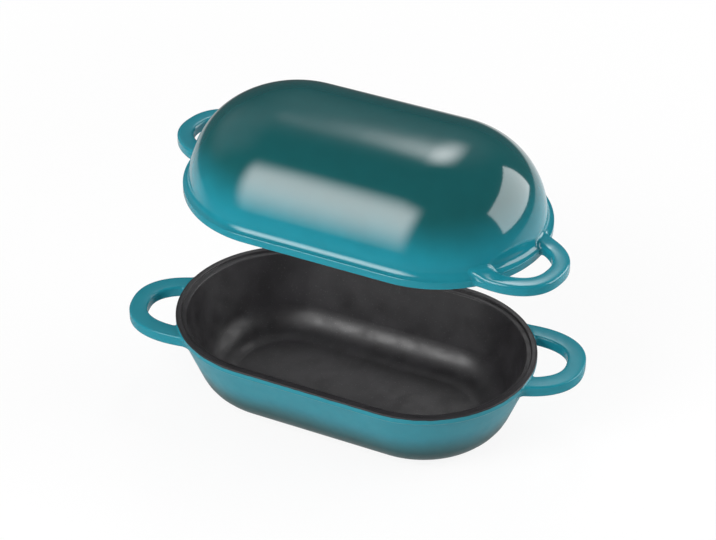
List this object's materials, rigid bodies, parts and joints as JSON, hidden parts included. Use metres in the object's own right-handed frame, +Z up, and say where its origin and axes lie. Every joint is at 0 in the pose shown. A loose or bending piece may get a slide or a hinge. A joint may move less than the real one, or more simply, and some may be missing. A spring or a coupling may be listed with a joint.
{
  "type": "cast iron bread pan",
  "caption": "Enamelled cast iron bread pan: oblong sloping base with a black lining and loop handles, and a domed lid with its own loop handles that lifts off.",
  "frame": {"origin": "centre of the flat bottom of the base, at table level", "axes": "+X along the long side, +Z up, -Y out of the long side that the picture shows"},
  "size_m": [0.3414, 0.188, 0.236],
  "materials": {
    "enamel_turquoise": "cast iron under gloss turquoise enamel that darkens towards the bottom of the base",
    "enamel_dark_teal": "cast iron under high-gloss enamel that fades from dark teal at the crown to turquoise at the flange",
    "enamel_black": "satin black enamel"
  },
  "bodies": {
    "base": {"base_casting": "enamel_turquoise", "base_lining": "enamel_black", "base_handle_left": "enamel_turquoise", "base_handle_right": "enamel_turquoise"},
    "lid": {"lid_casting": "enamel_dark_teal", "lid_lining": "enamel_black", "lid_handle_left": "enamel_turquoise", "lid_handle_right": "enamel_turquoise"}
  },
  "joints": [
    {"name": "lid_lift", "type": "slide", "parent": "base", "child": "lid", "axis": [0, 0.1961, 0.9806], "range_m": [-0.1016, 0.06]}
  ]
}
